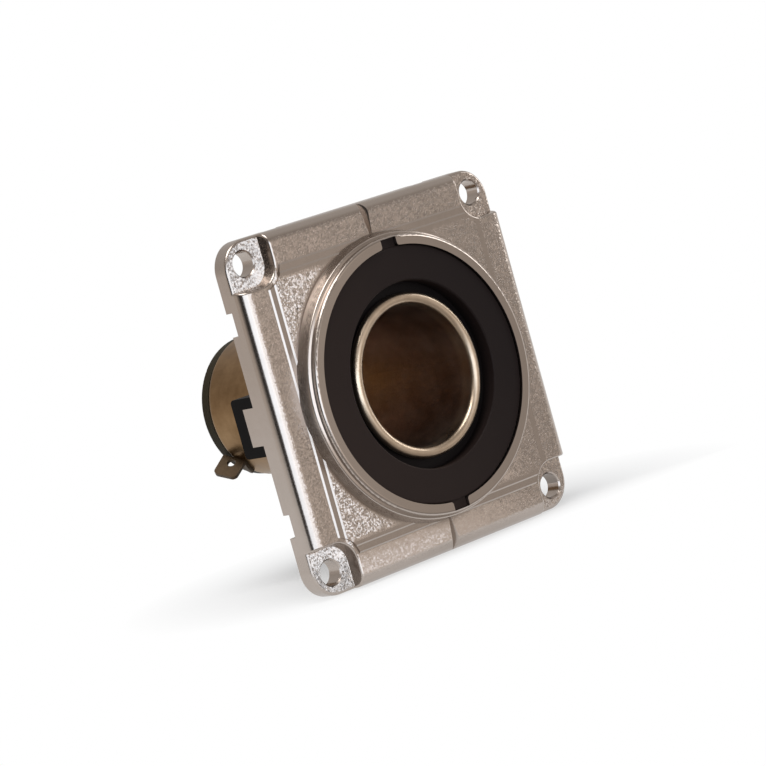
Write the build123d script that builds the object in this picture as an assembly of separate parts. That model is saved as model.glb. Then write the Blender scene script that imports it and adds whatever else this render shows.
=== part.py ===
from build123d import *
import math
import os

os.makedirs("parts", exist_ok=True)

# Vehicle power socket in a square cast frame, in millimetres. The origin is on
# the socket's axis in the rear seating plane of the frame. X is right, Y runs
# rearwards along the socket and Z is up, so the front looks along -Y.

# Cast mounting frame: heights are above the seating plane
PLATE = 52.5            # side of the square
PLATE_CORNER = 4.3      # outer corner radius
PAD_H = 2.55            # screw pads
PAD_EDGE_R = 0.5        # rounded outer edge of a pad
RAIL_H = 4.55           # rails along the four sides
RAIL_ROUND_R = 1.9      # large rounding of their outer edge
RAIL_W = 4.75           # from the outer wall to the first step
BAND_W = 1.1            # plain band between the two low steps
STEP_H = 0.2            # rise of a step towards the ring
STEP_RUN = 0.3
POCKET = 6.95           # corner pocket, inwards from the outer wall
POCKET_CORNER_R = 3.0
POCKET_DRAFT = 9.0      # degrees
POCKET_EDGE_R = 0.35    # rounded rim of a pocket
SCREW_INSET = 3.45      # hole centre from the outer wall
SCREW_R = 1.85
SCREW_EDGE_R = 0.2      # rounded rim of a screw hole

# Ring of the frame
RING_BORE_R = 19.0
RING_H = 7.85
RING_WALL = 2.5         # wall at the rails
RIM_W = 1.6             # flat rim
RIM_EDGE_R = 0.45
SHOULDER_DROP = 1.1     # step round the ring, below the rim
SHOULDER_W = 0.45
SHOULDER_EDGE_R = 0.3
SHOULDER_FALL = 0.15
KEY_W = 3.0             # key notches at the top and bottom of the rim
KEY_RUN = 1.3           # outwards from the bore
KEY_DEPTH = 2.6
KEY_MOUTH_R = 0.45

# Rear side and grooves of the frame
WALL = 2.2              # outer wall round the cored pockets
CORE_DEPTH = 2.4
BOSS_WALL = 2.9         # metal round a screw hole
SPINE_W = 10.8          # uncored strips up to the middle of each side
RELIEF_W = 3.4          # slots in the rear edge
RELIEF_DEPTH = 1.25
RELIEF_AT = 14.85       # from the middle of a side
LUG_W = 5.6             # lugs at the left and right rear edge
LUG_L = 2.35
LUG_T = 2.1
GROOVE_W = 0.6          # groove across the top and bottom rail
GROOVE_DEPTH = 0.35
FLARE_W = 2.4           # the same groove at the outer wall
FLARE_DEPTH = 1.4

# Moulded face insert
FIT = 0.05              # free space round each moulding and rivet
FACE_DROP = 0.35        # face below the rim
FACE_T = 2.6
FACE_EDGE_R = 0.25
KEY_DROP = 0.55         # key tabs below the rim
LIP_GAP = 1.55          # recess round the socket's lip
LIP_SEAT = 2.85         # floor of that recess below the rim
SEAT_T = 1.5
SKIRT_T = 1.8
SKIRT_SHORT = 0.5       # skirt ends before the seating plane
SLEEVE_T = 2.3

# Moulded rear bridge
COLLAR_L = 10.0
ARM_W = 8.8             # arms that close round the lugs
ARM_T = 4.6
ARM_CORNER_R = 0.7      # rounded rear corners of an arm

# Socket shell, a drawn cup with a rolled lip
BORE_R = 10.5
SHEET = 0.4
BEAD_R = 0.85           # rolled lip
CURL_GAP = 0.3          # between the end of the roll and the wall
SHELL_END = 29.65       # outer face of the cup's bottom
SHELL_CORNER = 0.9
BASE_STEP = 0.25        # extra wall thickness next to the bottom
BASE_LEAD = 0.3         # that part starts ahead of the contact's rim
TONGUE_ARC = 20.0       # lanced retaining tongues, degrees
TONGUE_SLIT = 1.5       # degrees
TONGUE_L = 4.5
TONGUE_RISE = 1.2

# Parts riveted to the bottom of the cup
BUSH_R = 2.6            # insulating bush of the rear disc
BUSH_GAP = 0.1
DISC_INSET = 0.3        # rear disc inside the shell's outline
DISC_T = 1.8
DISC_EDGE_R = 0.3
WASHER_R = 6.0          # inner insulating washer
WASHER_T = 1.0
EARTH_T = 0.6           # earth tag, welded to the shell
EARTH_W = 4.0
EARTH_TURN = 214.5      # direction of its ear, degrees from X towards Z
EARTH_SLANT = 26.0      # ear out of line with the axis, degrees
EARTH_BACK = 0.9        # middle of the ear ahead of the shell's end
EARTH_REACH = 3.6       # ear beyond the shell's wall
EARTH_TIP_R = 0.8
EARTH_FOOT = 3.4        # foot along the shell's wall, under the ear
EARTH_HOLE_R = 0.7
EARTH_HOLE_AT = 1.05    # from the shell's wall
CONTACT_R = 5.2         # dished centre contact
CONTACT_BASE_R = 3.8
CONTACT_T = 0.5
CONTACT_RISE = 2.2
RIVET_R = 1.5
RIVET_HEAD_R = 2.7
RIVET_HEAD_H = 0.8
RIVET_DOME_R = 0.55
BLADE_W = 6.3           # positive blade
BLADE_T = 0.8
BLADE_L = 8.0
BLADE_AT = 4.5          # outer face of the blade, from the axis
BLADE_BEND_R = 0.3
BLADE_TIP_W = 0.8       # chamfers at the tip
BLADE_TIP_L = 1.2
BLADE_HOLE_R = 0.8
BLADE_HOLE_AT = 3.6     # from the tip

# Places that several pieces share
OVER = 1.0              # how far a cut runs past the surface
half = PLATE / 2
band_out = half - RAIL_W
field_out = band_out - BAND_W
band_h = RAIL_H + STEP_H
field_h = band_h + STEP_H
pocket_low = PAD_H - 2 * POCKET_EDGE_R
pocket_in = half - POCKET
screw_at = half - SCREW_INSET
ring_base_r = RING_BORE_R + RING_WALL
rim_r = RING_BORE_R + RIM_W
key_r = RING_BORE_R + KEY_RUN
key_floor = KEY_DEPTH - RING_H
insert_r = RING_BORE_R - FIT
shell_r = BORE_R + SHEET
bead_r = BORE_R + BEAD_R
seat_y = LIP_SEAT - RING_H
bead_y = seat_y - BEAD_R
recess_r = BORE_R + 2 * BEAD_R + LIP_GAP
sleeve_in = shell_r + FIT
sleeve_out = sleeve_in + SLEEVE_T
floor_y = SHELL_END - SHEET
washer_y = floor_y - WASHER_T
contact_y = washer_y - CONTACT_T
contact_rim = washer_y - CONTACT_RISE
disc_r = shell_r - DISC_INSET
disc_end = SHELL_END + DISC_T
blade_y = disc_end + BLADE_T
rivet_hole = RIVET_R + FIT


def profile(points, rounds=()):
    """Face in the XY plane; rounds are pairs of point number and radius."""
    outline = make_face(Polyline(*points, close=True))
    for index, radius in rounds:
        corner = outline.vertices().sort_by_distance(Vector(*points[index], 0))[0]
        outline = fillet(corner, radius)
    return outline


def turned(points, rounds=(), arc=360.0):
    """Revolve a profile of radius and Y about the socket's axis."""
    return revolve(profile(points, rounds), axis=Axis.Y, revolution_arc=arc)


def block(x, y, z):
    """Box between pairs of limits."""
    centre = [sum(limits) / 2 for limits in (x, y, z)]
    return Pos(*centre) * Box(x[1] - x[0], y[1] - y[0], z[1] - z[0])


def forward(sketch, y, length, taper=0.0):
    """Extrude a sketch drawn in X and Z from Y towards the front."""
    return extrude(Plane.XZ.offset(-y) * sketch, amount=length, taper=taper)


def square_taper(half_0, height_0, half_1, height_1):
    """Square block that changes width between two heights."""
    ends = ((half_0, height_0), (half_1, height_1))
    faces = [Plane.XZ.offset(h) * Rectangle(2 * w, 2 * w) for w, h in ends]
    return loft([face.face() for face in faces])


def turns(shape, count):
    """Copies of a shape spread evenly about the socket's axis."""
    return [Rot(0, 360 / count * k, 0) * shape for k in range(count)]


def pocket_outline(grow=0.0):
    """Outline of the pocket in the upper right corner."""
    reach = POCKET + 2 * POCKET_CORNER_R
    middle = pocket_in + reach / 2
    side = reach + 2 * grow
    return Pos(middle, middle) * RectangleRounded(side, side, POCKET_CORNER_R + grow)


def pocket_rims(body):
    """Front edges of the walls round the corner pockets."""
    seen, edges = {}, {}
    for face in body.faces():
        at = face.center()
        is_wall = abs(face.normal_at(at).Y) < math.sin(math.radians(2 * POCKET_DRAFT + 5))
        if is_wall and min(abs(at.X), abs(at.Z)) > pocket_in - OVER and at.Y < -pocket_low:
            for edge in face.edges():
                edges[hash(edge)] = edge
                seen[hash(edge)] = seen.get(hash(edge), 0) + 1
    outer = [edge for key, edge in edges.items() if seen[key] == 1]
    return [edge for edge in outer if edge.bounding_box().min.Y < -pocket_low - POCKET_EDGE_R / 2]


def railed_square():
    """Square slab with rounded rails and corner pockets."""
    body = forward(Rectangle(PLATE, PLATE), 0, RAIL_H)
    body = fillet(body.faces().sort_by(Axis.Y)[0].edges(), RAIL_ROUND_R)
    depth = RAIL_H - pocket_low + OVER
    for corner in turns(forward(pocket_outline(), -pocket_low, depth, -POCKET_DRAFT), 4):
        body -= corner
    body = fillet(pocket_rims(body), POCKET_EDGE_R)
    for corner in turns(forward(pocket_outline(), OVER, pocket_low + OVER), 4):
        body -= corner
    return body


def low_step(outside, foot_h):
    """Square that rises one step above a level, clear of the pockets' rims."""
    body = square_taper(outside, foot_h - FIT, outside - STEP_RUN, foot_h + STEP_H)
    lean = math.tan(math.radians(POCKET_DRAFT)) * (RAIL_H - pocket_low)
    clear = pocket_outline(lean + 2 * POCKET_EDGE_R)
    for corner in turns(forward(clear, OVER, RING_H + OVER), 4):
        body -= corner
    return body


def stepped_ring():
    """Ring with a flat rim and a shoulder, still closed at its bore."""
    shoulder_y = SHOULDER_DROP - RING_H
    inside = RING_BORE_R - OVER
    return turned(
        [(inside, 0), (ring_base_r, 0), (ring_base_r, -RAIL_H),
         (rim_r + SHOULDER_W, shoulder_y), (rim_r, shoulder_y - SHOULDER_FALL),
         (rim_r, -RING_H), (inside, -RING_H)],
        [(3, SHOULDER_EDGE_R), (5, RIM_EDGE_R)])


def core_outline():
    """Cored areas behind the fields, clear of ring, bosses and side middles."""
    side = PLATE - 2 * WALL
    core = Rectangle(side, side) - Circle(ring_base_r)
    core -= Rectangle(PLATE, SPINE_W)
    core -= Rectangle(SPINE_W, PLATE)
    for sx in (-1, 1):
        for sz in (-1, 1):
            core -= Pos(sx * screw_at, sz * screw_at) * Circle(SCREW_R + BOSS_WALL)
    return core


def rail_groove():
    """V groove across the upper rail that flares at the outer wall."""
    top = -field_h - FIT
    ends = ((field_out, GROOVE_W, GROOVE_DEPTH), (half + FIT, FLARE_W, FLARE_DEPTH))
    faces = []
    for z, width, depth in ends:
        vee = Polyline((-width / 2, top), (0, depth - RAIL_H), (width / 2, top), close=True)
        faces.append((Plane.XY.offset(z) * make_face(vee)).face())
    return loft(faces)


def mounting_frame():
    pads = forward(RectangleRounded(PLATE, PLATE, PLATE_CORNER), 0, PAD_H)
    pads = fillet(pads.faces().sort_by(Axis.Y)[0].edges(), PAD_EDGE_R)
    body = railed_square() + pads + low_step(band_out, RAIL_H) + low_step(field_out, band_h)
    body += stepped_ring()
    lug = block((half - LUG_T, half), (-OVER, LUG_L), (-LUG_W / 2, LUG_W / 2))
    for side in turns(lug, 2):
        body += side
    body -= forward(Circle(RING_BORE_R), LUG_L + OVER, RING_H + LUG_L + 2 * OVER)
    body -= forward(core_outline(), OVER, CORE_DEPTH + OVER)

    screw = Pos(screw_at, 0, screw_at) * turned(
        [(0, OVER), (SCREW_R, OVER), (SCREW_R, SCREW_EDGE_R - PAD_H), (SCREW_R + SCREW_EDGE_R, -PAD_H),
         (SCREW_R + SCREW_EDGE_R, -RAIL_H), (0, -RAIL_H)])
    slot_z = (RELIEF_AT - RELIEF_W / 2, RELIEF_AT + RELIEF_W / 2)
    relief = block((half - WALL - FIT, half + OVER), (-RELIEF_DEPTH, OVER), slot_z)
    relief += mirror(relief, Plane.XY)
    for tool in turns(screw, 4) + turns(relief, 4):
        body -= tool

    key = Pos(0, key_r - RING_BORE_R / 2) * Rectangle(KEY_W, RING_BORE_R)
    key = forward(key, key_floor, KEY_DEPTH + OVER)
    for tool in turns(key, 2) + turns(rail_groove(), 2):
        body -= tool
    upright = body.edges().filter_by(Axis.Y)
    at_key = [e for e in upright if abs(abs(e.center().X) - KEY_W / 2) < FIT]
    mouth = [e for e in at_key if e.center().Y < key_floor and abs(e.center().Z) < RING_BORE_R]
    return fillet(mouth, KEY_MOUTH_R)


def face_insert():
    face_y = FACE_DROP - RING_H
    back_y = face_y + FACE_T
    skirt_r = insert_r - SKIRT_T
    body = turned(
        [(sleeve_in, seat_y), (recess_r, seat_y), (recess_r, face_y), (insert_r, face_y),
         (insert_r, -SKIRT_SHORT), (skirt_r, -SKIRT_SHORT), (skirt_r, back_y),
         (sleeve_out, max(back_y, seat_y + SEAT_T)), (sleeve_out, 0), (sleeve_in, 0)],
        [(2, FACE_EDGE_R), (3, FACE_EDGE_R)])
    width = KEY_W / 2 - FIT
    key = block((-width, width), (KEY_DROP - RING_H, key_floor), (skirt_r, key_r - FIT))
    for tab in turns(key, 2):
        body += tab
    return body


def rear_bridge():
    body = turned([(sleeve_in, 0), (sleeve_out, 0), (sleeve_out, COLLAR_L), (sleeve_in, COLLAR_L)])
    arm = block(((sleeve_in + sleeve_out) / 2, half), (0, ARM_T), (-ARM_W / 2, ARM_W / 2))
    corners = arm.faces().sort_by(Axis.Y)[-1].edges().filter_by(Axis.X)
    arm = fillet(corners, ARM_CORNER_R)
    width = LUG_W / 2 + FIT
    arm -= block((half - LUG_T - FIT, half + OVER), (-OVER, LUG_L + FIT), (-width, width))
    for side in turns(arm, 2):
        body += side
    return body - forward(Circle(sleeve_in), COLLAR_L + OVER, COLLAR_L + 2 * OVER)


def socket_shell():
    hole = BUSH_R + BUSH_GAP
    base_r = BORE_R - BASE_STEP
    base_y = contact_rim - BASE_LEAD
    cup = profile(
        [(BORE_R, bead_y), (shell_r, bead_y), (shell_r, SHELL_END), (hole, SHELL_END),
         (hole, floor_y), (base_r, floor_y), (base_r, base_y + BASE_STEP), (BORE_R, base_y)],
        [(2, SHELL_CORNER), (5, SHELL_CORNER - SHEET)])
    roll = Circle(BEAD_R) - Circle(BEAD_R - SHEET)
    open_w = SHEET + CURL_GAP
    roll -= Pos(open_w / 2 - BEAD_R, BEAD_R / 2) * Rectangle(open_w, BEAD_R)
    body = revolve(cup + Pos(bead_r, bead_y) * roll, axis=Axis.Y)
    root_y = COLLAR_L + TONGUE_L
    window = turned([(BORE_R - OVER, COLLAR_L), (shell_r + OVER, COLLAR_L),
                     (shell_r + OVER, root_y), (BORE_R - OVER, root_y)],
                    arc=TONGUE_ARC + 2 * TONGUE_SLIT)
    tongue = turned([(BORE_R + TONGUE_RISE, COLLAR_L), (shell_r + TONGUE_RISE, COLLAR_L),
                     (shell_r, root_y), (shell_r, root_y + SHEET), (BORE_R, root_y + SHEET),
                     (BORE_R, root_y)],
                    arc=TONGUE_ARC)
    upwards = 90 + TONGUE_ARC / 2
    for cut in turns(Rot(0, upwards + TONGUE_SLIT, 0) * window, 2):
        body -= cut
    for spring in turns(Rot(0, upwards, 0) * tongue, 2):
        body += spring
    return body


def earth_terminal():
    """Bent tag: a curved foot on the shell's wall and an ear with a hole."""
    slant = math.radians(EARTH_SLANT)
    facing = (0, -math.sin(slant), -math.cos(slant))
    plane = Plane((0, SHELL_END - EARTH_BACK, 0), x_dir=(1, 0, 0), z_dir=facing)
    tip_r = shell_r + EARTH_REACH
    ear = Pos((tip_r + BORE_R) / 2, 0) * Rectangle(tip_r - BORE_R, EARTH_W)
    ear = fillet(ear.vertices().group_by(Axis.X)[-1], EARTH_TIP_R)
    ear -= Pos(shell_r + EARTH_HOLE_AT, 0) * Circle(EARTH_HOLE_R)
    ear = extrude(plane.offset(-EARTH_T) * ear, amount=EARTH_T)
    strip = Pos(tip_r / 2, 0) * Rectangle(tip_r, EARTH_W)
    strip = extrude(plane.offset(-EARTH_FOOT) * strip, amount=EARTH_FOOT)
    straight = (SHELL_END - 2 * EARTH_W, SHELL_END - SHELL_CORNER)
    foot_r = shell_r + EARTH_T
    ring = turned([(shell_r, straight[0]), (foot_r, straight[0]),
                   (foot_r, straight[1]), (shell_r, straight[1])])
    body = ear + (ring & strip) - forward(Circle(shell_r), SHELL_END + EARTH_W, SHELL_END)
    return Rot(0, -EARTH_TURN, 0) * body


def rear_insulator():
    return turned([(rivet_hole, floor_y), (BUSH_R, floor_y), (BUSH_R, SHELL_END),
                   (disc_r, SHELL_END), (disc_r, disc_end), (rivet_hole, disc_end)],
                  [(4, DISC_EDGE_R)])


def inner_washer():
    return turned([(rivet_hole, washer_y), (WASHER_R, washer_y), (WASHER_R, floor_y),
                   (rivet_hole, floor_y)])


def centre_contact():
    flare = CONTACT_R - CONTACT_BASE_R
    slant = math.hypot(flare, CONTACT_RISE)
    rim_in = CONTACT_R - CONTACT_T * slant / CONTACT_RISE
    base_in = CONTACT_BASE_R - CONTACT_T * (slant - flare) / CONTACT_RISE
    return turned([(rivet_hole, washer_y), (CONTACT_BASE_R, washer_y), (CONTACT_R, contact_rim),
                   (rim_in, contact_rim), (base_in, contact_y), (rivet_hole, contact_y)])


def centre_rivet():
    front, rear = contact_y - RIVET_HEAD_H, blade_y + RIVET_HEAD_H
    return turned([(0, front), (RIVET_HEAD_R, front), (RIVET_HEAD_R, contact_y),
                   (RIVET_R, contact_y), (RIVET_R, blade_y), (RIVET_HEAD_R, blade_y),
                   (RIVET_HEAD_R, rear), (0, rear)],
                  [(1, RIVET_DOME_R), (6, RIVET_DOME_R)])


def positive_blade():
    w = BLADE_W / 2
    tip_y = blade_y + BLADE_L
    inner = BLADE_AT - BLADE_T
    bend = profile([(-w, disc_end), (BLADE_AT, disc_end), (BLADE_AT, tip_y), (inner, tip_y),
                    (inner, blade_y), (-w, blade_y)],
                   [(1, BLADE_BEND_R + BLADE_T), (4, BLADE_BEND_R)])
    body = extrude(bend, amount=w, both=True)
    eye = Circle(w) + Pos(BLADE_AT / 2, 0) * Rectangle(BLADE_AT, BLADE_W)
    body &= forward(eye - Circle(rivet_hole), tip_y, tip_y - disc_end)
    neck_y, neck_w = tip_y - BLADE_TIP_L, w - BLADE_TIP_W
    outline = Polyline((disc_end, -w), (neck_y, -w), (tip_y, -neck_w), (tip_y, neck_w),
                       (neck_y, w), (disc_end, w), close=True)
    body &= extrude(Plane.YZ * make_face(outline), amount=BLADE_AT + w, both=True)
    hole = Rot(0, 90, 0) * Cylinder(BLADE_HOLE_R, 2 * BLADE_AT)
    return body - Pos(BLADE_AT, tip_y - BLADE_HOLE_AT, 0) * hole


NODES = (mounting_frame, face_insert, rear_bridge, socket_shell, earth_terminal,
         rear_insulator, inner_washer, centre_contact, centre_rivet, positive_blade)

for make in NODES:
    solid = make()
    export_step(solid, f"parts/{make.__name__}.step")
    size = solid.bounding_box().size
    print(make.__name__, len(solid.solids()), "solid,", round(solid.volume, 1), "mm3,",
          [round(side, 2) for side in (size.X, size.Y, size.Z)])
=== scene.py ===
# %% [markdown]
# # A vehicle power socket in a cast frame
# The part arrives from CAD with every piece already in its place, in metres. This lesson dresses it. It
# sets the camera where the photographer stood, gives each piece the finish that it has on the real
# object, and builds a small white studio round the part. Nothing is moved, so the picture, the solid
# model and the physics model stay one and the same part.

# %% Load the packed part
import bpy
from mathutils import Matrix, Vector


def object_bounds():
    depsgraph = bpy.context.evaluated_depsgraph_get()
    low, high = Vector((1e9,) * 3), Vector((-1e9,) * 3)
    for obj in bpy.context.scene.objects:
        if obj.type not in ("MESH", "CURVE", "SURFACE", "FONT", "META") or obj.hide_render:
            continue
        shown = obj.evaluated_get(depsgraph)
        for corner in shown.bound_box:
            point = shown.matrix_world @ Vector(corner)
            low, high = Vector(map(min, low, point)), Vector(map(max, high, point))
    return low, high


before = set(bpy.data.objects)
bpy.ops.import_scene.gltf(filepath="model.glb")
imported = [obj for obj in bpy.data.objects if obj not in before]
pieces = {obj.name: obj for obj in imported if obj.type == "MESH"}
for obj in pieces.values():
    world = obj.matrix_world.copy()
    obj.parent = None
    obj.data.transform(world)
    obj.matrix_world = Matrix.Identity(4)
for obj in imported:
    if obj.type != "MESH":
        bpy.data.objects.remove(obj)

cad_box = [list(corner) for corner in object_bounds()]
print("pieces:", ", ".join(sorted(pieces)))

# %% [markdown]
# ## The camera
# The photograph was taken with a long lens from the front left, a little above the middle, with the part
# leaning to the left in the picture. A camera can be set by hand until the edges agree, but here the
# square's edges and the ring were measured, and the camera was solved from them. The rows below are the
# camera's right and up directions in the part's frame, and the place is in metres.

# %% Camera
LENS_MM = 180.1
SENSOR_MM = 36.0
CAMERA_AT = Vector((-0.36636, -0.42061, 0.04543))
RIGHT = Vector((0.7130, -0.6476, -0.2687))
UP = Vector((0.2550, -0.1174, 0.9598))
BACK = RIGHT.cross(UP)

lens = bpy.data.cameras.new("camera")
lens.lens = LENS_MM
lens.sensor_width = SENSOR_MM
camera = bpy.data.objects.new("camera", lens)
bpy.context.scene.collection.objects.link(camera)
turn = Matrix((RIGHT.normalized(), UP.normalized(), BACK.normalized())).transposed()
camera.matrix_world = Matrix.Translation(CAMERA_AT) @ turn.to_4x4()
bpy.context.scene.camera = camera
print("camera", [round(c, 3) for c in CAMERA_AT], "lens", LENS_MM)

# %% [markdown]
# ## A way to write shader maths
# A finish is made of numbers: how far from the axis, how deep, how grainy. Such sums could be drawn as a
# web of nodes by hand, but they are easier to read as Python. `Val` stands for one socket, and adding or
# multiplying two of them adds a Math node. The reflected forms let a plain number stand first, so that
# `1.0 - mask` works too.

# %% Shader expressions
class Val:
    """One output socket of a node tree, usable in Python sums."""

    def __init__(self, web, socket):
        self.web = web
        self.socket = socket

    def __add__(self, other):
        return self.web.sum("ADD", self, other)

    def __radd__(self, other):
        return self.web.sum("ADD", other, self)

    def __sub__(self, other):
        return self.web.sum("SUBTRACT", self, other)

    def __rsub__(self, other):
        return self.web.sum("SUBTRACT", other, self)

    def __mul__(self, other):
        return self.web.sum("MULTIPLY", self, other)

    def __rmul__(self, other):
        return self.web.sum("MULTIPLY", other, self)

    def __neg__(self):
        return self.web.sum("MULTIPLY", self, -1.0)

    def __abs__(self):
        return self.web.sum("ABSOLUTE", self)


print("a Val knows", sorted(name for name in vars(Val) if name.startswith("__r")))

# %% [markdown]
# ## A node tree in Python
# `Web` wraps a node tree. Its one method `node` adds any node with its settings and its inputs, and the
# few others are short forms of it that come up again and again: a sum, the three numbers of a vector, a
# straight ramp and a mix of two colours. Colours go through the Mix node, because a Math node would turn
# them grey.

# %% Node trees
class Web:
    """A node tree, with one method that adds any node to it."""

    def __init__(self, tree):
        self.tree = tree

    def feed(self, socket, value):
        """Link a Val to a socket, or set the socket's own value."""
        if isinstance(value, Val):
            self.tree.links.new(value.socket, socket)
        else:
            socket.default_value = value

    def node(self, kind, settings=None, out=0, **inputs):
        """Inputs go by name, with _ for a space, or by number as i0, i1."""
        new = self.tree.nodes.new(kind)
        for key, value in (settings or {}).items():
            setattr(new, key, value)
        for key, value in inputs.items():
            name = int(key[1:]) if key[1:].isdigit() else key.replace("_", " ")
            self.feed(new.inputs[name], value)
        return Val(self, new.outputs[out]) if len(new.outputs) else None

    def sum(self, operation, *values):
        """One Math node on one or two values."""
        numbered = {f"i{place}": value for place, value in enumerate(values)}
        return self.node("ShaderNodeMath", {"operation": operation}, **numbered)

    def parts(self, vector):
        """The three numbers of a vector."""
        first = self.node("ShaderNodeSeparateXYZ", Vector=vector)
        return [Val(self, socket) for socket in first.socket.node.outputs]

    def ramp(self, value, low, high):
        """0 at low, 1 at high, straight between and flat outside."""
        return self.node("ShaderNodeMapRange", i0=value, i1=low, i2=high)

    def mix(self, share, first, second):
        """Colour between two colours."""
        return self.node("ShaderNodeMix", {"data_type": "RGBA"}, out=2, Factor=share, i6=first, i7=second)


print("a Web offers", [name for name in vars(Web) if not name.startswith("_")])

# %% [markdown]
# ## What every finish shares
# A `Finish` is a material with one Principled shader. Patterns could follow a UV map, but every piece
# sits at the origin, so Object coordinates are the CAD's own coordinates. With them a zone such as the
# ring can be told by its distance from the socket's axis, and a grain has its true size in millimetres.
# Two patterns come up on more than one piece: what grows towards the lower left of the front, and the
# rings that turning leaves.

# %% Finishes
MM_PER_M = 1000.0
SLANT = (0.8, 0.3)


class Finish(Web):
    """A material, with helpers to build its pattern."""

    def __init__(self, name):
        self.material = bpy.data.materials.new(name)
        self.material.use_nodes = True
        super().__init__(self.material.node_tree)
        self.at = self.node("ShaderNodeTexCoord", out="Object")
        self.x, self.y, self.z = (number * MM_PER_M for number in self.parts(self.at))
        self.radius = self.sum("SQRT", self.x * self.x + self.z * self.z)

    def noise(self, size_mm, detail=2.0, rough=0.5, stretch=None):
        """Cloudy noise with blobs of about this size, from 0 to 1."""
        at = self.node("ShaderNodeMapping", Vector=self.at, Scale=stretch) if stretch else self.at
        look = {"Scale": MM_PER_M / size_mm, "Detail": detail, "Roughness": rough}
        return self.node("ShaderNodeTexNoise", Vector=at, **look)

    def cells(self, size_mm):
        """Distance from the middle of random cells of about this size."""
        return self.node("ShaderNodeTexVoronoi", Vector=self.at, Scale=MM_PER_M / size_mm)

    def lower_left(self, reach_mm):
        """1 towards the lower left, 0 towards the upper right, straight between."""
        return self.ramp(self.x * SLANT[0] + self.z * SLANT[1], reach_mm, -reach_mm)

    def rings(self, radians_per_mm):
        """Waves round the socket's axis, from -1 to 1."""
        return self.sum("SINE", self.radius * radians_per_mm)

    def bump(self, height, depth_mm, under=None):
        """Surface relief of a depth; several can be stacked."""
        more = {} if under is None else {"Normal": under}
        more["Distance"] = depth_mm / MM_PER_M
        return self.node("ShaderNodeBump", Height=height, Strength=1.0, **more)

    def set(self, **values):
        """Link or set inputs of the shader, with _ for a space."""
        shader = self.tree.nodes["Principled BSDF"]
        for key, value in values.items():
            self.feed(shader.inputs[key.replace("_", " ")], value)

    def give(self, *names):
        """Put the finish on these pieces."""
        for name in names:
            pieces[name].data.materials.clear()
            pieces[name].data.materials.append(self.material)
        print(self.material.name, "on", ", ".join(names), "with", len(self.tree.nodes), "nodes")


def rgb(red, green, blue):
    return (red, green, blue, 1.0)


print("a Finish adds", [name for name in vars(Finish) if not name.startswith("_")])

# %% [markdown]
# ## Nickel-plated casting
# The frame is a zinc casting under a thin, warm nickel plate. The ring's rim was polished before plating,
# its flank is satin, and the rounded edges came out of the mould smooth. The pads and the triangular
# fields keep a coarse grain that sparkles, most of all at the left, where the mould is worn, and the rails
# have a flatter one. Each zone could have its own material, but the plating is one skin, so one material
# carries masks: the radius finds the ring, the reach towards the outer wall finds the rails, and the
# surface's own direction finds what faces forward. Each mask has two limits: where it is 0, and where it
# is 1.

# %% Zones of the casting
FORWARD = (0.90, 0.985)
POLISH_MM = (21.6, 21.2)
FLANK_MM = (22.0, 21.6)
OFF_RING_MM = (21.6, 22.4)
FIELD_WIDE_MM = (20.3, 20.1)
FIELD_TALL_MM = (19.7, 18.9)
PAD_MM = (19.0, 19.4)
RAIL_MM = (21.4, 21.6)
WORN_REACH_MM = 9.0

cast = Finish("cast_nickel")
reach = cast.sum("MAXIMUM", abs(cast.x), abs(cast.z))
nearer = cast.sum("MINIMUM", abs(cast.x), abs(cast.z))
facing = cast.parts(cast.node("ShaderNodeNewGeometry", out="Normal"))
front = cast.ramp(-facing[1], *FORWARD)
polished = cast.ramp(cast.radius, *POLISH_MM)
flank = cast.ramp(cast.radius, *FLANK_MM) * (1.0 - front)
off_ring = cast.ramp(cast.radius, *OFF_RING_MM)
fields = cast.ramp(abs(cast.x), *FIELD_WIDE_MM) * cast.ramp(abs(cast.z), *FIELD_TALL_MM)
pads = cast.ramp(nearer, *PAD_MM)
rails = cast.ramp(reach, *RAIL_MM)
worn_side = cast.lower_left(WORN_REACH_MM)
print("masks made from", len(cast.tree.nodes), "nodes")

# %% [markdown]
# Plated grain sparkles because it is made of tiny mirrors. Plain noise bump would give soft waves, so the
# grain is built from Voronoi cells instead: within each cell the height rises in a straight line, which
# makes it a flat facet, and the cell's random colour decides which way the facet leans. On the worn side
# the facets are steeper, and they all lean a little to the left as well, twice as far on the pads and
# less on the rails, of which the lower one has more of that lean and flatter facets.

# %% Grain of the casting
FACET_MM = 0.26
LEAN_LEFT = 0.29
LEAN_UP = 0.05
SPREAD = 0.52
RAIL_LEAN = 0.20
LOW_RAIL_LEAN = 0.60
LOW_RAIL_MM = (-20.0, -23.0)
STEEP_FRESH = 0.22
STEEP_WORN = 0.78
STEEP_RAIL = 0.32
PAD_FLATTER = 0.35
LOW_RAIL_FLATTER = 0.12

cell = cast.cells(FACET_MM).socket.node.outputs
tint = cast.parts(Val(cast, cell["Color"]))
middle = cast.parts(Val(cast, cell["Position"]))
coarse = cast.sum("MAXIMUM", fields, pads)
lower = cast.ramp(cast.z, *LOW_RAIL_MM)
leaning = (coarse + rails * (RAIL_LEAN + LOW_RAIL_LEAN * lower)) * worn_side
steep_coarse = coarse * (STEEP_FRESH + worn_side * (STEEP_WORN - PAD_FLATTER * pads))
steep = steep_coarse + rails * (STEEP_RAIL - LOW_RAIL_FLATTER * lower)
lean_x = leaning * LEAN_LEFT * (1.0 + pads) + (tint[0] - 0.5) * SPREAD * steep
lean_z = (tint[1] - 0.5) * SPREAD * steep - leaning * LEAN_UP
facets = (cast.x - middle[0] * MM_PER_M) * lean_x + (cast.z - middle[2] * MM_PER_M) * lean_z
print("facets of", FACET_MM, "mm, nodes so far", len(cast.tree.nodes))

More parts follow.
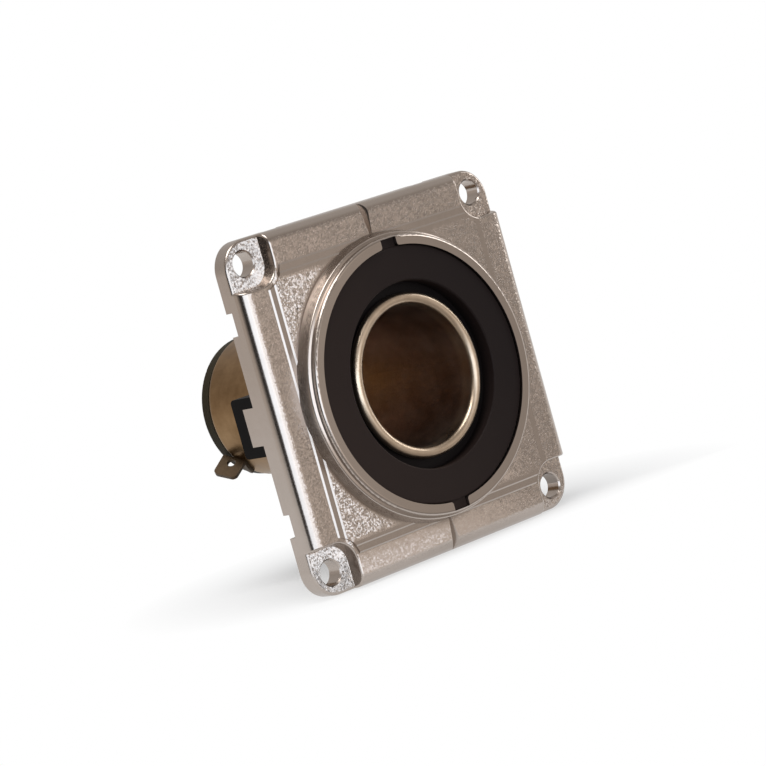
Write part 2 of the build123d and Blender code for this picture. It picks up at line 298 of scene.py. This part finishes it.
# %% [markdown]
# A slow smear under the grain keeps even the smooth stretches from looking like glass. Cloudy patches
# shift the colour a little, a fine frost changes the roughness, and sparse dark pits stand for the pores
# of the casting. The facets' height is in millimetres already, so their bump is 1 mm deep for each unit.

# %% Finish of the casting
FROST_MM = 0.12
CLOUD_MM = 7.0
SMEAR_MM = 1.4
SMEAR_DEPTH_MM = 0.010
FACET_SCALE_MM = 1.0
PITS_APART_MM = 6.0
PIT_EDGE = (0.035, 0.02)
PIT_SHARE = 0.6
PLATE_DARK = rgb(0.41, 0.36, 0.32)
PLATE_PALE = rgb(0.47, 0.41, 0.37)
PIT_DARK = rgb(0.10, 0.08, 0.07)
ROUGH = 0.14
ROUGH_SMEAR = 0.07
ROUGH_FROST = 0.05
ROUGH_LEANING = 0.05
ROUGH_FLANK = 0.12
ROUGH_POLISH = -0.05

frost = cast.noise(FROST_MM)
cloud = cast.noise(CLOUD_MM, detail=3.0, rough=0.6)
smear = cast.noise(SMEAR_MM, detail=3.0)
unpolished = 1.0 - polished
pits = cast.ramp(cast.cells(PITS_APART_MM), *PIT_EDGE) * unpolished
plate = cast.mix(cloud, PLATE_DARK, PLATE_PALE)
smeared = cast.bump(smear * unpolished, SMEAR_DEPTH_MM)
satin = ROUGH + unpolished * (smear * ROUGH_SMEAR + frost * ROUGH_FROST)
cast.set(
    Base_Color=cast.mix(pits * PIT_SHARE, plate, PIT_DARK),
    Metallic=1.0,
    Roughness=satin + leaning * ROUGH_LEANING + flank * ROUGH_FLANK + polished * ROUGH_POLISH,
    Normal=cast.bump(facets * front * off_ring, FACET_SCALE_MM, smeared),
)
cast.give("mounting_frame")

# %% [markdown]
# ## Black mouldings
# The insert in the ring and the bridge behind the frame are black plastic with the fine, dull skin of a
# sand blasted mould. Black plastic still has a little brown in it. A speckled bump breaks up its shine,
# and a slow haze, as fingers leave it, changes the roughness. The face's colour is painted paler towards
# the lower left, a painted light, mixed with a little of the haze. From the recess round the lip
# backwards, which takes in the bridge, the colour is painted darker, a painted shade. Faint rings follow
# the way in which the mould was turned.

# %% Finish of the mouldings
FACE_TO_DEEP_MM = (-6.6, -4.5)
SPECK_MM = 0.16
SPECK_DEPTH_MM = 0.006
HAZE_MM = 5.0
# painted light: the face is paler towards the lower left over this reach
PAINTED_LIGHT_REACH_MM = 15.0
PAINTED_LIGHT_SHARE = 0.8
TURNED_RADIANS = 14.0
TURNED_DEPTH_MM = 0.0006
FACE_DARK = rgb(0.0100, 0.0065, 0.0063)
FACE_PALE_PAINTED_LIGHT = rgb(0.0270, 0.0172, 0.0141)
# painted shade: the darker colour from the recess round the lip backwards
DEEP_PAINTED_SHADE = rgb(0.0048, 0.0038, 0.0038)

black = Finish("black_moulding")
# painted shade mask: 0 on the face, 1 from the recess backwards
deep = black.ramp(black.y, *FACE_TO_DEEP_MM)
speck = black.noise(SPECK_MM)
haze = black.noise(HAZE_MM, detail=3.0)
# mostly painted light, with a little real haze: paler towards the lower left
painted_light_and_haze = PAINTED_LIGHT_SHARE * black.lower_left(PAINTED_LIGHT_REACH_MM) + (1.0 - PAINTED_LIGHT_SHARE) * haze
turned = black.rings(TURNED_RADIANS)
black.set(
    Base_Color=black.mix(deep, black.mix(painted_light_and_haze, FACE_DARK, FACE_PALE_PAINTED_LIGHT), DEEP_PAINTED_SHADE),
    Roughness=0.44 + haze * 0.12,
    Specular_IOR_Level=0.08,
    Normal=black.bump(speck, SPECK_DEPTH_MM, black.bump(turned, TURNED_DEPTH_MM)),
)
black.give("face_insert", "rear_bridge")

# %% [markdown]
# ## Drawn shell
# The socket's cup is drawn from sheet, so fine lines run along it. Its plate is thin: the barrel has gone
# brown in clouds, and only the rolled lip still shines, with worn patches. The inside's colour is painted
# dark near the mouth and bright far inside, a painted shade and a painted glow. The lip could be a
# separate material, but there is no seam on the real cup, so the place along the axis and the radius tell
# the three zones apart.

# %% Finish of the shell
LIP_MM = (-3.6, -4.6)
BORE_WALL_MM = (10.75, 10.6)
BORE_DEPTH_MM = (0.0, 20.0)
STAIN_MM = 4.0
STAIN_EDGE = (0.34, 0.66)
PATCH_MM = 1.6
PATCH_DEPTH_MM = 0.02
STREAK_MM = 0.25
STREAK_DEPTH_MM = 0.004
STREAK_SHARE = 0.2
# share of painted light and shade in the bore: dark near the mouth, bright far inside
PAINTED_GLOW_SHARE = 0.7
ALONG_CUP = (1.0, 0.05, 1.0)
BARREL_BROWN = rgb(0.18, 0.105, 0.046)
BARREL_BRIGHT = rgb(0.31, 0.197, 0.100)
BORE_DARK = rgb(0.29, 0.215, 0.17)
BORE_BRIGHT = rgb(0.66, 0.50, 0.40)
LIP_WORN = rgb(0.42, 0.325, 0.23)
LIP_BRIGHT = rgb(0.66, 0.545, 0.43)

drawn = Finish("drawn_shell")
stain = drawn.ramp(drawn.noise(STAIN_MM, detail=4.0, rough=0.6), *STAIN_EDGE)
patch = drawn.noise(PATCH_MM, detail=4.0, rough=0.65)
streak = drawn.noise(STREAK_MM, stretch=ALONG_CUP)
lip = drawn.ramp(drawn.y, *LIP_MM)
inside = drawn.ramp(drawn.radius, *BORE_WALL_MM)
# painted shade near the mouth and painted glow far inside
depth = drawn.ramp(drawn.y, *BORE_DEPTH_MM)
barrel = drawn.mix(stain * (1.0 - STREAK_SHARE) + streak * STREAK_SHARE, BARREL_BROWN, BARREL_BRIGHT)
bore = drawn.mix(stain * (1.0 - PAINTED_GLOW_SHARE) + depth * PAINTED_GLOW_SHARE, BORE_DARK, BORE_BRIGHT)
roll = drawn.mix(patch, LIP_WORN, LIP_BRIGHT)
drawn.set(
    Base_Color=drawn.mix(lip, drawn.mix(inside, barrel, bore), roll),
    Metallic=1.0,
    Roughness=0.30 + stain * 0.12 - lip * 0.04,
    Normal=drawn.bump(streak, STREAK_DEPTH_MM, drawn.bump(patch * lip, PATCH_DEPTH_MM)),
)
drawn.give("socket_shell")

# %% [markdown]
# ## Pressed laminate
# The disc at the rear and the washer inside the cup are punched from a laminate of paper and resin. Its
# layers show as fine lines round the edge, and its faces are flecked. Noise that is squeezed along the
# axis makes the layers, and a second noise, the same in every direction, makes the flecks.

# %% Finish of the insulators
LAYER_MM = 0.2
LAYER_DEPTH_MM = 0.01
LAYER_SHARE = 0.6
FLECK_MM = 0.5
IN_LAYERS = (0.1, 1.0, 0.1)
RESIN_DARK = rgb(0.011, 0.008, 0.004)
RESIN_PALE = rgb(0.040, 0.031, 0.014)

laminate = Finish("pressed_laminate")
layers = laminate.noise(LAYER_MM, stretch=IN_LAYERS)
fleck = laminate.noise(FLECK_MM, detail=3.0, rough=0.6)
laminate.set(
    Base_Color=laminate.mix(layers * LAYER_SHARE + fleck * (1.0 - LAYER_SHARE), RESIN_DARK, RESIN_PALE),
    Roughness=0.52 + layers * 0.12,
    Specular_IOR_Level=0.15,
    Normal=laminate.bump(layers, LAYER_DEPTH_MM),
)
laminate.give("rear_insulator", "inner_washer")

# %% [markdown]
# ## Tinned terminals
# The earth tag and the blade are stamped from tinned sheet that has gone dull and brown, and their colour
# is painted darker still, a painted shade. Large patches carry the tarnish, and fine lines along the
# sheet are left from rolling it.

# %% Finish of the terminals
DULL_MM = 1.5
DULL_DEPTH_MM = 0.01
DULL_SHARE = 0.8
ROLLED_MM = 0.12
ROLLED_DEPTH_MM = 0.003
ALONG_SHEET = (1.0, 0.06, 1.0)
# both tin colours are painted darker than the tarnish alone, a painted shade
TIN_BROWN = rgb(0.038, 0.025, 0.015)
TIN_PALE = rgb(0.100, 0.070, 0.044)

tin = Finish("tinned_tag")
dull = tin.noise(DULL_MM, detail=4.0, rough=0.6)
rolled = tin.noise(ROLLED_MM, stretch=ALONG_SHEET)
tin.set(
    Base_Color=tin.mix(dull * DULL_SHARE + rolled * (1.0 - DULL_SHARE), TIN_BROWN, TIN_PALE),
    Metallic=1.0,
    Roughness=0.36 + dull * 0.15,
    Normal=tin.bump(dull, DULL_DEPTH_MM, tin.bump(rolled, ROLLED_DEPTH_MM)),
)
tin.give("earth_terminal", "positive_blade")

# %% [markdown]
# ## Plain brass
# The contact at the bottom of the cup and the rivet through it are bare brass. The rivet and the contact
# are turned or spun, so fine rings run round the axis, and tarnish lies over them in spots.

# %% Finish of the brass
TARNISH_MM = 1.2
TARNISH_DEPTH_MM = 0.01
SPUN_RADIANS = 40.0
SPUN_DEPTH_MM = 0.002
BRASS_DULL = rgb(0.38, 0.24, 0.10)
BRASS_BRIGHT = rgb(0.56, 0.39, 0.18)

brass = Finish("plain_brass")
tarnish = brass.noise(TARNISH_MM, detail=4.0, rough=0.6)
spun = brass.rings(SPUN_RADIANS)
brass.set(
    Base_Color=brass.mix(tarnish, BRASS_DULL, BRASS_BRIGHT),
    Metallic=1.0,
    Roughness=0.28 + tarnish * 0.15,
    Normal=brass.bump(tarnish, TARNISH_DEPTH_MM, brass.bump(spun, SPUN_DEPTH_MM)),
)
brass.give("centre_contact", "centre_rivet")

# %% [markdown]
# ## Floor
# The part stands on a sheet of white paper. A sheet that is only lit would come out grey in places, and
# one that only glows would lose the shadow. So to the camera and in reflections the sheet is part lit and
# part glowing at strength 1, which is white. The glowing share grows with the distance from the part, so
# the sheet's edges vanish in the backdrop. The sheet ends just in front of the part: a longer one would
# show in the lower edges of the metal, where the photograph shows the lamps.

# %% Floor
BELOW_PART = 0.0002
FLOOR_Z = cad_box[0][2] - BELOW_PART
SHEET_LOW = (-0.22, -0.012)
SHEET_HIGH = (0.50, 0.60)

sheet_mid = [(low + high) / 2 for low, high in zip(SHEET_LOW, SHEET_HIGH)]
sheet_side = [high - low for low, high in zip(SHEET_LOW, SHEET_HIGH)]
bpy.ops.object.select_all(action="DESELECT")
bpy.ops.mesh.primitive_plane_add(size=1.0, location=(*sheet_mid, FLOOR_Z))
floor = bpy.context.object
floor.name = "floor"
floor.scale = (*sheet_side, 1.0)
bpy.ops.object.transform_apply(location=True, rotation=True, scale=True)
print("floor at", round(FLOOR_Z, 4), "sheet", [round(side, 2) for side in sheet_side])

# %% [markdown]
# Light Path tells which kind of ray has met the sheet. Only the rays that are seen, straight or in metal,
# get the glow, so the sheet throws no extra light on the part. The glowing share is least round the middle
# of the part's foot, and at the front edge it is the whole.

# %% Paper
def seen_by(web, *kinds):
    """1 for rays of these kinds, 0 for all others."""
    outputs = web.node("ShaderNodeLightPath").socket.node.outputs
    found = 0.0
    for kind in kinds:
        found = web.sum("MAXIMUM", Val(web, outputs[f"Is {kind} Ray"]), found)
    return found


FOOT = (0.014, 0.015)
FADE = (0.020, 0.050)
FRONT_FADE = (0.012, -0.011)
LEAST_GLOW = 0.30
PAPER = rgb(0.85, 0.85, 0.85)
WHITE = rgb(1.0, 1.0, 1.0)

paper = bpy.data.materials.new("white_paper")
paper.use_nodes = True
paper.node_tree.nodes.clear()
web = Web(paper.node_tree)
spot = web.parts(web.node("ShaderNodeTexCoord", out="Object"))
aside = spot[0] - FOOT[0]
behind = spot[1] - FOOT[1]
away = web.sum("SQRT", aside * aside + behind * behind)
front_edge = web.ramp(spot[1], *FRONT_FADE)
spread = LEAST_GLOW + (1.0 - LEAST_GLOW) * web.ramp(away, *FADE)
share = web.sum("MAXIMUM", spread, front_edge)
lit = web.node("ShaderNodeBsdfDiffuse", Color=PAPER)
glow = web.node("ShaderNodeEmission", Color=WHITE, Strength=1.0)
looked_at = seen_by(web, "Camera", "Glossy", "Transmission")
surface = web.node("ShaderNodeMixShader", i0=looked_at * share, i1=lit, i2=glow)
web.node("ShaderNodeOutputMaterial", Surface=surface)
floor.data.materials.append(paper)
print("paper nodes:", len(paper.node_tree.nodes))

# %% [markdown]
# ## The room
# Behind the part hangs a white backdrop, which the polished metal shows too, a little darker higher up.
# The rest of the room is warmer and darker. It glows ahead of the part, its left wall is paler, and a
# dark gap between the lamps and that wall gives the rounded rails their dark line. Walls could be built
# for this, but the world's own direction does it with a few sums: how far it agrees with the direction
# of each wall, which is given as right and rearwards.

# %% World
world = bpy.data.worlds.new("studio")
bpy.context.scene.world = world
world.use_nodes = True
world.node_tree.nodes.clear()
web = Web(world.node_tree)
dx, dy, dz = web.parts(web.node("ShaderNodeTexCoord", out="Generated"))


def agrees(way, low, high):
    """0 where the direction leaves this way, 1 where it follows it."""
    return web.ramp(dx * way[0] + dy * way[1], low, high)


print("world with its direction, nodes:", len(world.node_tree.nodes))

# %% What the metal mirrors
TO_BACKDROP = (0.655, 0.755)
TO_FRONT = (0.17, -0.985)
TO_LEFT_WALL = (-0.88, 0.47)
TO_LEFT_GAP = (-0.98, -0.17)
BACKDROP = 0.85
BACKDROP_FALL = 0.25
BACKDROP_FALL_AT = (0.0, 0.10)
ROOM = 0.38
GLOW = 0.60
LEFT_WALL = 0.30
LEFT_DARK = 0.34

backdrop = agrees(TO_BACKDROP, 0.0, 0.25)
ahead = agrees(TO_FRONT, 0.80, 0.97)
left_wall = agrees(TO_LEFT_WALL, 0.86, 0.93)
left_gap = agrees(TO_LEFT_GAP, 0.85, 0.93)
room = ROOM + GLOW * ahead + LEFT_WALL * left_wall - LEFT_DARK * left_gap
white = BACKDROP - BACKDROP_FALL * web.ramp(dz, *BACKDROP_FALL_AT)
shown = backdrop * white + (1.0 - backdrop) * room
print("room and backdrop, nodes so far:", len(world.node_tree.nodes))

# %% [markdown]
# Light Path sorts the rays again. The camera sees plain white, metal sees the room, and what reaches the
# part as soft light from all round is an even fill.

# %% Light of the world
FILL = 0.35
WARM = rgb(1.0, 0.90, 0.82)
BACKDROP_COOLER = 0.5

camera_ray = seen_by(web, "Camera")
mirrored = seen_by(web, "Glossy", "Transmission")
strength = camera_ray + (1.0 - camera_ray) * (mirrored * shown + (1.0 - mirrored) * FILL)
tone = web.mix(mirrored * (1.0 - BACKDROP_COOLER * backdrop), WHITE, WARM)
sky = web.node("ShaderNodeBackground", Color=tone, Strength=strength)
web.node("ShaderNodeOutputWorld", Surface=sky)
print("world nodes:", len(world.node_tree.nodes))

# %% [markdown]
# ## Lamps
# A wide soft box stands ahead of the part, on its left, and draws the bright band along the rounded rail.
# A smaller, weaker card stands straight ahead. The grain sparkles with both, because facets that lean to
# the left mirror them, and both are a little cool, so the sparkle is bluish beside the warm plate. A
# small box at the right and one overhead, from the front left, lift the far side and place the shadow.

# %% Lamps
COOL = (0.74, 0.86, 1.0)
NEUTRAL = (1.0, 1.0, 1.0)


def soft_box(name, place, width, height, power, colour):
    """A rectangular lamp at a place, turned to the origin; sizes in metres."""
    data = bpy.data.lights.new(name, "AREA")
    data.shape = "RECTANGLE"
    data.size = width
    data.size_y = height
    data.energy = power
    data.color = colour
    lamp = bpy.data.objects.new(name, data)
    bpy.context.scene.collection.objects.link(lamp)
    towards = -Vector(place)
    lamp.matrix_world = Matrix.Translation(place) @ towards.to_track_quat("-Z", "Y").to_matrix().to_4x4()
    print(name, "at", place, power, "W")


soft_box("key_box", (-0.51, -0.75, 0.05), 0.73, 0.50, 2.95, COOL)
soft_box("front_card", (-0.02, -0.90, 0.05), 0.35, 0.50, 1.0, COOL)
soft_box("right_box", (0.60, -0.22, 0.15), 0.20, 0.30, 0.6, NEUTRAL)
soft_box("top_box", (-0.22, -0.18, 0.75), 0.50, 0.50, 3.9, NEUTRAL)

# %% [markdown]
# ## Settings
# The view transform is Standard, so that a colour comes out as it is written.

# %% Settings
bpy.context.scene.view_settings.view_transform = "Standard"
